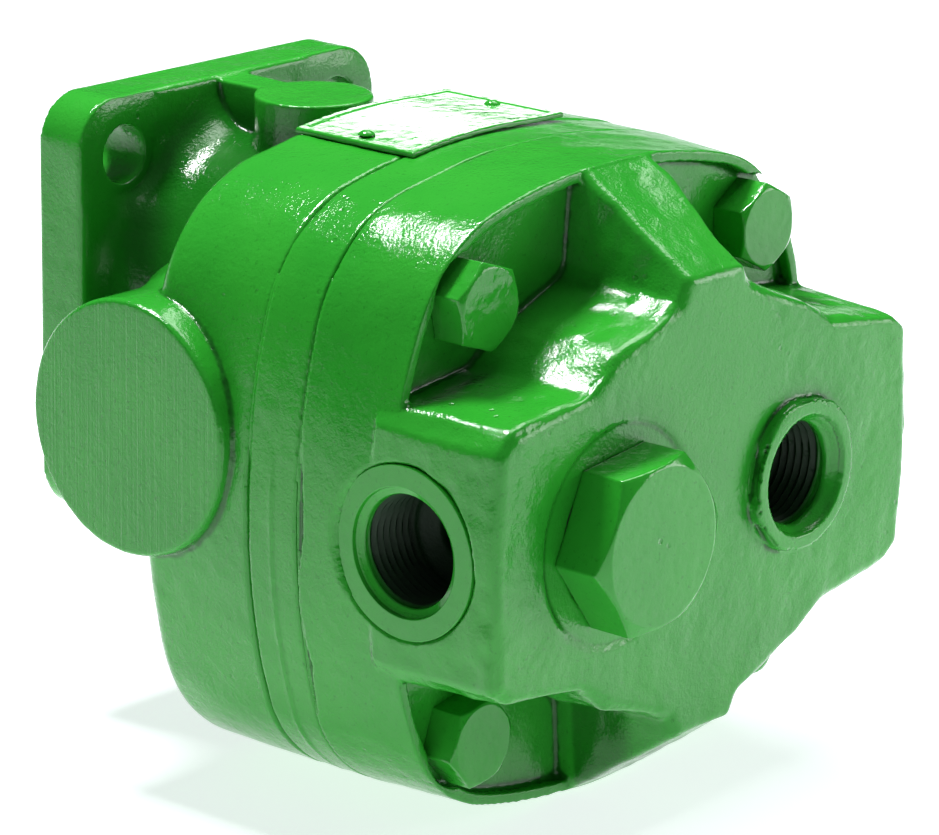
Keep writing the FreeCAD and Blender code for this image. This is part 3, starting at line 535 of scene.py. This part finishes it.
def cast_skin(obj, seed, lumps=0.30, grain=0.10):
    """Moves the surface in and out as sand-cast iron under thick paint does."""
    mesh = obj.data
    points = coordinates(mesh)
    normal = normals(mesh)
    keep = 1 - machined(points, normal)
    move = lumps * noise(points, 17 * MM, seed) + 0.45 * lumps * noise(points, 7 * MM, seed + 1)
    move += grain * noise(points, 2.6 * MM, seed + 2) * (0.5 + 0.5 * noise(points, 24 * MM, seed + 3))
    points += normal * (move * keep * MM)[:, None]
    set_coordinates(mesh, points)


def bores(points):
    """1 on the walls inside the two ports and the valve's chamber, which are painted near black as shade, 0
    elsewhere.
    """
    x, y, z = points.T
    side = (np.hypot(y - SIDE_PORT_Y, z - AXIS_Z) < PORT_R) & (x < PLUG_X) & (x > SIDE_FACE_X + BORE_SHADE_DEPTH)
    rear = (np.hypot(x - REAR_PORT_X, z - AXIS_Z) < PORT_R) & (y > REAR_FACE_Y + BORE_SHADE_DEPTH)
    chamber = (np.hypot(x - PLUG_X, z - AXIS_Z) < PORT_R + 2 * MM) & (y > REAR_FACE_Y + BORE_SHADE_DEPTH)
    return ((side | rear | chamber) & (y < COVER_FRONT_Y)).astype(float)


def painted_shade_in_recesses(points):
    """How strong the painted shade is round the neck, on the flange's rear and in the lower pockets; tops
    stay free of it.
    """
    x, y, z = points.T
    behind = step(-y, 13.6 * MM, 14.6 * MM) * (1 - step(-y, 53 * MM, 57.5 * MM))
    behind = behind * (1 - step(-x, 52.5 * MM, 57 * MM))
    neck = behind * (1 - step(np.hypot(x, z), 44 * MM, 54 * MM))
    pocket = step(-y, 137 * MM, 138.5 * MM) * (1 - step(-y, 150 * MM, 156 * MM))
    pocket = pocket * (1 - step(z, -72 * MM, -64 * MM))
    return np.clip(0.35 * behind + 0.45 * neck + 0.6 * pocket, 0, 1) * (1 - step(z, 42 * MM, 50 * MM))


def soften_seats(obj):
    """Runs the flange's bolt seats smoothly into the neck's flare, then opens the seam."""
    mesh = obj.data
    points = coordinates(mesh)
    half = MOUNTS["flange_bolts"]["dims"]["spacing_x_mm"] / 2 * MM
    x, y, z = points.T
    ring = np.hypot(np.abs(x) - half, np.abs(z) - half)
    near = step(ring, 9.5 * MM, 11.5 * MM) * (1 - step(ring, 15 * MM, 18 * MM))
    near *= step(-y, 13.8 * MM, 14.3 * MM) * (1 - step(-y, 30 * MM, 34 * MM))
    average = averager(mesh)
    for _ in range(SEAT_ROUNDS):
        points += near[:, None] * (average(points) - points)
    set_coordinates(mesh, points)
    open_seam(obj)


def casting(node, name, seed, shape):
    """The painted skin of a casting; shape moves what is its own, and the masks are taken before it."""
    obj = skin(node, name, CAST_VOXEL, CAST_ROUNDS)
    flat = coordinates(obj.data)
    milled = step(-flat[:, 0], -BOSS_FACE_X - 0.6 * MM, -BOSS_FACE_X - 0.2 * MM)
    shape(obj)
    cast_skin(obj, seed)
    store_hollows(obj.data)
    store_mask(obj.data, "milled", milled)
    store_mask(obj.data, "inside", bores(flat))
    store_mask(obj.data, "recess_shade", painted_shade_in_recesses(flat))
    smooth_shading(obj.data)
    take_place(obj, node, CAST)


def round_axis(points):
    """The angle about the casing's axis, from +X towards +Z."""
    return np.arctan2(points[:, 2] - AXIS_Z, points[:, 0])


def full_turn(angle):
    """The angle in degrees, from 0 to 360."""
    return np.degrees(angle) % 360


def ring_points(angle, radius):
    """Points on a ring, for noise that depends on the angle alone; radius is in millimetres."""
    return np.stack([np.cos(angle), np.sin(angle), np.zeros_like(angle)], 1) * radius * MM


def axis_radius(points):
    """The distance from the casing's axis."""
    return np.hypot(points[:, 0], points[:, 2] - AXIS_Z)


def outer_wall(points, normal, low, high):
    """1 on the casing's outer wall, 0 inside it and on faces that look along the shaft."""
    radius = axis_radius(points)
    return step(radius, WALL_START, WALL_FULL) * (1 - step(np.abs(normal[:, 1]), low, high))


def left_low(angle):
    """1 on the casing's left side below the shaft, 0 elsewhere."""
    turn = full_turn(angle)
    return step(turn, 166, 176) * (1 - step(turn, 216, 240))


def upper_left(angle):
    """1 from the top to the left side, where thick paint closes the cover's seam, 0 elsewhere."""
    turn = full_turn(angle)
    return step(turn, 50, 70) * (1 - step(turn, 160, 178))


def cover_seam_gap(angle):
    """How far the seam between gear plate and cover shows through the paint."""
    ring = ring_points(angle, SEAM_NOISE_MM)
    return step(noise(ring, 26 * MM, 65), -0.2, 0.3) * (1 - upper_left(angle)) * 0.8


def seam_gap(angle):
    """How far the front seam stands open: wide low on the left, closed at the upper left, thin on top."""
    turn = full_turn(angle)
    wide = np.exp(-((turn - 181) / 8) ** 2)
    top = step(turn, 104, 112) * (1 - step(turn, 131, 138))
    ring = ring_points(angle, SEAM_NOISE_MM)
    far = step(noise(ring, 26 * MM, 61), 0.0, 0.3) * (1 - step(turn, 92, 104)) + step(turn, 236, 250)
    return np.clip(0.45 * left_low(angle) + 0.55 * wide + 0.35 * top + 0.35 * far, 0, 1)


def open_seam(obj):
    """Sinks the skin's edge at the front seam where the seam stands open."""
    mesh = obj.data
    points = coordinates(mesh)
    x, y, z = points.T
    radius = axis_radius(points)
    near = np.exp(-((y - SEAM_Y) / SEAM_WIDTH) ** 2) * (radius > INSIDE_WALL_R)
    scale = 1 - SEAM_DEPTH * near * seam_gap(round_axis(points)) / np.maximum(radius, MM)
    points[:, 0] = x * scale
    points[:, 2] = AXIS_Z + (z - AXIS_Z) * scale
    set_coordinates(mesh, points)


def sink(points, axis, centre, face, out_r, raise_by):
    """Moves a port's skin under the turned surface that stands for it; axis is the one that it runs along."""
    others = [i for i in range(3) if i != axis]
    offset = points[:, others] - np.array(centre)
    ring = np.hypot(offset[:, 0], offset[:, 1])
    depth = points[:, axis] - face
    mouth = step(-ring, -out_r - 0.5 * MM, -out_r + 0.1 * MM) * (depth < 3.4 * MM) * (depth > -3 * MM)
    wall = (ring < PORT_R) * step(depth, 0.6 * MM, 1.4 * MM) * (1 - step(depth, 17 * MM, 18 * MM))
    outer = mouth * step(ring, out_r - 2.5 * MM, out_r - 1.5 * MM) * (depth < raise_by - 0.4 * MM)
    grow = 1 + (1.5 * MM * wall - 1.0 * MM * outer) / np.maximum(ring, MM)
    points[:, others] = np.array(centre) + offset * grow[:, None]
    points[:, axis] += 0.9 * MM * mouth * (depth < 2.2 * MM)


def wavy_cover(obj):
    """The cover's cast skin ends in a wavy step beside the gear plate, and its block has wandering edges."""
    mesh = obj.data
    points = coordinates(mesh)
    normal = normals(mesh)
    y = points[:, 1]
    angle = round_axis(points)
    ring = ring_points(angle, COVER_NOISE_MM)
    edge = COVER_FRONT_Y - (1.0 + 1.5 * noise(ring, 13 * MM, 5) + 0.6 * noise(ring, 5 * MM, 6)) * MM
    outer = outer_wall(points, normal, 0.3, 0.7)
    depth = 0.55 + 0.35 * noise(ring, 17 * MM, 7)
    inward = depth * MM * step(y, edge - 0.2 * MM, edge + 0.2 * MM) * outer
    inward = inward * (1 - 0.95 * upper_left(angle))
    block = step(-y, 137 * MM, 141 * MM) * (1 - step(np.abs(normal[:, 1]), 0.4, 0.8))
    wander = (0.8 * noise(points * [1, 0.4, 1], 11 * MM, 9) + 0.25 * noise(points, 4 * MM, 10)) * MM * block
    rear = step(-normal[:, 1], 0.7, 0.9) * (y < REAR_FACE_Y + 8 * MM) * (1 - machined(points, normal))
    streaks = 0.14 * noise(points * [1, 1, 0.45], 5 * MM, 12) + 0.08 * noise(points, 1.8 * MM, 13)
    points += normal * (wander - inward + streaks * MM * rear)[:, None]
    sink(points, 0, (SIDE_PORT_Y, AXIS_Z), SIDE_FACE_X, SIDE_RING_R, 0.0)
    sink(points, 1, (REAR_PORT_X, AXIS_Z), REAR_FACE_Y, REAR_RING_R, REAR_RING_RAISE)
    set_coordinates(mesh, points)


def flush_plate(obj):
    """Fills the plate's inset: level with the housing at its seam, with a low ridge along its middle."""
    mesh = obj.data
    points = coordinates(mesh)
    normal = normals(mesh)
    y = points[:, 1]
    wall = outer_wall(points, normal, 0.4, 0.8)
    ridge = (SEAM_Y + COVER_FRONT_Y) / 2
    along = noise(points * [1, 0, 1], 30 * MM, 23)
    low = 0.1 + 0.9 * left_low(round_axis(points))
    rise = 0.26 + 0.16 * (2 * step(y, ridge - 0.7 * MM, ridge + 0.1 * MM) - 1) * (0.75 + 0.25 * along) * low
    rise += 0.30 * np.exp(-((y - ridge) / (0.7 * MM)) ** 2) * (0.6 + 0.4 * along) * low
    points += normal * (rise * wall * MM)[:, None]
    set_coordinates(mesh, points)
    open_seam(obj)


def outline_radius(node, y):
    """The outer radius about the casing's axis against the angle, read from a CAD node at one y."""
    points = coordinates(frame["nodes"][node].data)
    radius = axis_radius(points)
    rim = (np.abs(points[:, 1] - y) < 0.1 * MM) & (radius > INSIDE_WALL_R)
    angle = round_axis(points[rim])
    order = np.argsort(angle)
    angle, radius = angle[order], radius[rim][order]
    return lambda a: np.interp(a, angle, radius, period=2 * math.pi)


# Reach along the shaft and drop below the surface at each corner of the paint, in millimetres
SEAM_PROFILE = [(-1.3, 1.0), (-0.55, 0.12), (0.0, 0.0), (0.55, 0.12), (1.3, 1.0), (0.0, 2.2)]


def paint_in_seam(name, node, y, depth, gap):
    """Paint that bridges a seam in places and leaves it open elsewhere, as gap says for each angle."""
    angle = np.linspace(-math.pi, math.pi, SEAM_POINTS, endpoint=False)
    radius = outline_radius(node, y)(angle)
    surface = radius - (0.05 + depth * gap(angle)) * MM
    work = bmesh.new()
    loops = []
    for reach, drop in SEAM_PROFILE:
        rows = surface - drop * MM
        loops.append([work.verts.new((r * math.cos(a), y + reach * MM, AXIS_Z + r * math.sin(a)))
                      for r, a in zip(rows, angle)])
    bridge(work, loops + loops[:1])
    bmesh.ops.recalc_face_normals(work, faces=work.faces)
    obj = object_from(work, name)
    store_hollows(obj.data, 2)
    smooth_shading(obj.data)
    on_casing(obj, CAST)


casting("front_housing", "housing_casting", 11, soften_seats)
casting("gear_plate", "gear_plate_casting", 31, flush_plate)
casting("rear_cover", "cover_casting", 51, wavy_cover)
paint_in_seam("front_seam_paint", "front_housing", SEAM_Y, 2.4, seam_gap)
paint_in_seam("rear_seam_paint", "gear_plate", COVER_FRONT_Y, 0.5, cover_seam_gap)

# Ports: turned seats and threads, crisper than the cast skin around them


def turned_port(name, centre, axis, profile):
    """A turned port mouth and its thread; profile gives radius and depth from the face, outside to inside."""
    turn = np.linspace(0, 2 * math.pi, PORT_POINTS, endpoint=False)
    rows = [(np.full(PORT_POINTS, r), d) for r, d in profile]
    for depth in np.arange(THREAD_START, THREAD_END, THREAD_PITCH / ROWS_PER_THREAD):
        phase = (depth / THREAD_PITCH + turn / (2 * math.pi)) % 1
        crest = 1 - np.abs(2 * phase - 1)
        grown = step(np.full(PORT_POINTS, depth), THREAD_START, THREAD_START + THREAD_PITCH)
        rows.append((THREAD_ROOT_R - 0.3 * MM - THREAD_RISE * (crest - 0.3) * grown, depth))
    work = bmesh.new()
    loops = []
    for radius, depth in rows:
        loop = []
        for r, a in zip(radius, turn):
            across, upward = r * math.cos(a), r * math.sin(a)
            if axis == 0:
                place = (centre[0] + depth, centre[1] + across, centre[2] + upward)
            else:
                place = (centre[0] + across, centre[1] + depth, centre[2] + upward)
            loop.append(work.verts.new(place))
        loops.append(loop)
    bridge(work, loops, flip=axis != 0)
    obj = object_from(work, name)
    deep = np.repeat([depth for _, depth in rows], PORT_POINTS)
    # Painted shade: the thread's walls darken with depth.
    store_mask(obj.data, "inside", step(deep, THREAD_START, BORE_SHADE_DEPTH))
    obj.data.set_sharp_from_angle(angle=math.radians(SHARP_DEGREES))
    on_casing(obj, SMOOTH)


def in_metres(rows):
    return [(r * MM, d * MM) for r, d in rows]


# Radius and depth of each step in millimetres, from the outside in
SEAT_ROWS = [(15.3, 0.0), (15.15, 0.1), (14.9, 1.0), (14.7, 1.1), (13.3, 1.8), (13.1, 2.1)]
SIDE_ROWS = [(20.2, 1.1), (20.2, 0.12), (20.05, 0.0)] + SEAT_ROWS
REAR_ROWS = [(18.4, 3.8), (18.4, 0.25), (18.15, 0.0)] + SEAT_ROWS
turned_port("side_port_seat", (SIDE_FACE_X, SIDE_PORT_Y, AXIS_Z), 0, in_metres(SIDE_ROWS))
turned_port("rear_port_seat", (REAR_PORT_X, REAR_FACE_Y, AXIS_Z), 1, in_metres(REAR_ROWS))

# Painted fasteners and the nameplate


def bordered_plate(obj):
    """A low raised border round the plate, and a right end that has come up a little."""
    mesh = obj.data
    points = coordinates(mesh)
    normal = normals(mesh)
    middle = (Vector(NAMEPLATE_LOW) + Vector(NAMEPLATE_HIGH)) / 2
    half = (Vector(NAMEPLATE_HIGH) - Vector(NAMEPLATE_LOW)) / 2
    x, y = points[:, 0] - middle.x, points[:, 1] - middle.y
    margin = np.minimum(half.x - np.abs(x), half.y - np.abs(y))
    border = (1 - step(margin, 1.9 * MM, 2.5 * MM)) * (normal[:, 2] > 0.5)
    lift = LIFTED_END * np.clip((x / half.x - 0.45) / 0.55, 0, 1) ** 2
    points[:, 2] += BORDER_RISE * border + lift
    set_coordinates(mesh, points)


def widen_stem_bore(obj):
    """Keeps the plug's skin off the poppet's stem, which slides in the plug's nose."""
    mesh = obj.data
    points = coordinates(mesh)
    across, upward = points[:, 0] - PLUG_X, points[:, 2] - AXIS_Z
    ring = np.hypot(across, upward)
    bore = (ring < STEM_ROOM_R) * (points[:, 1] > REAR_FACE_Y - 2 * MM)
    grow = 1 + STEM_CLEARANCE * bore / np.maximum(ring, MM)
    points[:, 0] = PLUG_X + across * grow
    points[:, 2] = AXIS_Z + upward * grow
    set_coordinates(mesh, points)


def painted(node, name, voxel, rounds, seed=None, grain=0.04, shape=None):
    """The painted skin of a small machined piece; seed and grain give its paint's unevenness."""
    obj = skin(node, name, voxel, rounds)
    if shape:
        shape(obj)
    if seed is not None:
        mesh = obj.data
        points = coordinates(mesh)
        move = grain * noise(points, 3 * MM, seed) + 0.5 * grain * noise(points, 1.2 * MM, seed + 1)
        points += normals(mesh) * (move * MM)[:, None]
        set_coordinates(mesh, points)
    store_hollows(obj.data, 6)
    smooth_shading(obj.data)
    take_place(obj, node, SMOOTH)
    return obj


painted("cover_bolts", "painted_bolts", 0.35 * MM, 1, 71, 0.08)
painted("valve_plug", "painted_plug", 0.35 * MM, 2, 81, 0.04, widen_stem_bore)
plate = painted("nameplate", "painted_plate", 0.30 * MM, 1, 91, 0.05, bordered_plate)
plate_screws = painted("nameplate_screws", "painted_drive_screws", 0.20 * MM, 2)

# Machined pieces keep their CAD shapes

FINISHES = {
    "drive_shaft": BRIGHT, "idler_shaft": BRIGHT, "shaft_key": DULL, "drive_gear": DULL, "idler_gear": DULL,
    "drive_gear_key": DULL, "idler_gear_key": DULL, "front_drive_bush": BRONZE, "front_idler_bush": BRONZE,
    "rear_drive_bush": BRONZE, "rear_idler_bush": BRONZE, "bearing_outer_race": BRIGHT,
    "bearing_inner_race": BRIGHT, "bearing_balls": BRIGHT, "bearing_retaining_ring": DULL,
    "shaft_retaining_ring": DULL, "shaft_seal": RUBBER, "front_face_seal": RUBBER, "rear_face_seal": RUBBER,
    "valve_plug_seal": RUBBER, "dowel_pins": BRIGHT, "valve_seat": OIL_AND_SHADE_STEEL, "valve_poppet": OIL_AND_SHADE_STEEL,
    "valve_spring": OIL_AND_SHADE_STEEL,
}
for node_name, finish in FINISHES.items():
    give(frame["nodes"][node_name], finish)

# The valve's spring gets a mesh of its own

spring = link("valve_spring_coil", frame["nodes"]["valve_spring"].data.copy())
take_place(spring, "valve_spring", OIL_AND_SHADE_STEEL)
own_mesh(spring)

# Stage and light


def add_floor():
    z = CAD_BOX[0][2] - FLOOR_DROP
    mesh = bpy.data.meshes.new("floor")
    corners = [(x * FLOOR_HALF, y * FLOOR_HALF, z) for x, y in ((-1, -1), (1, -1), (1, 1), (-1, 1))]
    mesh.from_pydata(corners, [], [(0, 1, 2, 3)])
    floor = link("floor", mesh)
    give(floor, floor_material())


def add_light(name, place, aim, size, power):
    data = bpy.data.lights.new(name, "AREA")
    data.shape = "RECTANGLE"
    data.size, data.size_y = size
    data.energy = power
    lamp = bpy.data.objects.new(name, data)
    bpy.context.collection.objects.link(lamp)
    lamp.location = place
    lamp.rotation_euler = (Vector(aim) - Vector(place)).to_track_quat("-Z", "Y").to_euler()
    return lamp


def only_on(lamp, *pieces):
    """The lamp lights these pieces alone, as a card held close to them would."""
    group = bpy.data.collections.new(lamp.name + "_pieces")
    for piece in pieces:
        group.objects.link(piece)
    lamp.light_linking.receiver_collection = group


def add_world():
    """A dim room over a white table: pale below the horizon, dark above it, a little lighter overhead."""
    world = bpy.data.worlds.new("studio")
    world.use_nodes = True
    tree = world.node_tree
    place = tree.nodes.new("ShaderNodeTexCoord")
    split = tree.nodes.new("ShaderNodeSeparateXYZ")
    ramp = tree.nodes.new("ShaderNodeValToRGB")
    tree.links.new(place.outputs["Generated"], split.inputs[0])
    tree.links.new(split.outputs["Z"], ramp.inputs["Fac"])
    ramp.color_ramp.elements[0].position = 0.0
    ramp.color_ramp.elements[0].color = (0.95, 0.98, 1.0, 1)
    ramp.color_ramp.elements[1].position = 0.03
    ramp.color_ramp.elements[1].color = (0.015, 0.018, 0.018, 1)
    high = ramp.color_ramp.elements.new(0.9)
    high.color = (0.12, 0.13, 0.13, 1)
    tree.links.new(ramp.outputs["Color"], tree.nodes["Background"].inputs["Color"])
    tree.nodes["Background"].inputs["Strength"].default_value = 1.0
    bpy.context.scene.world = world


MIDDLE = (0, -0.08, AXIS_Z)
add_floor()
add_light("behind_above", (-0.02, 0.26, 0.92), MIDDLE, (0.20, 0.22), 14)
add_light("overhead", (0.45, -0.05, 1.00), MIDDLE, (0.6, 0.6), 8)
add_light("camera_side", (0.75, -0.80, 0.20), MIDDLE, (0.5, 0.4), 3.6)
plate_card = add_light("plate_card", (0.92, 0.74, 0.42), (0, -0.079, 0.052), (0.26, 0.34), 1.5)
only_on(plate_card, plate, plate_screws)
add_world()
add_camera()
bpy.context.scene.view_settings.view_transform = "Standard"
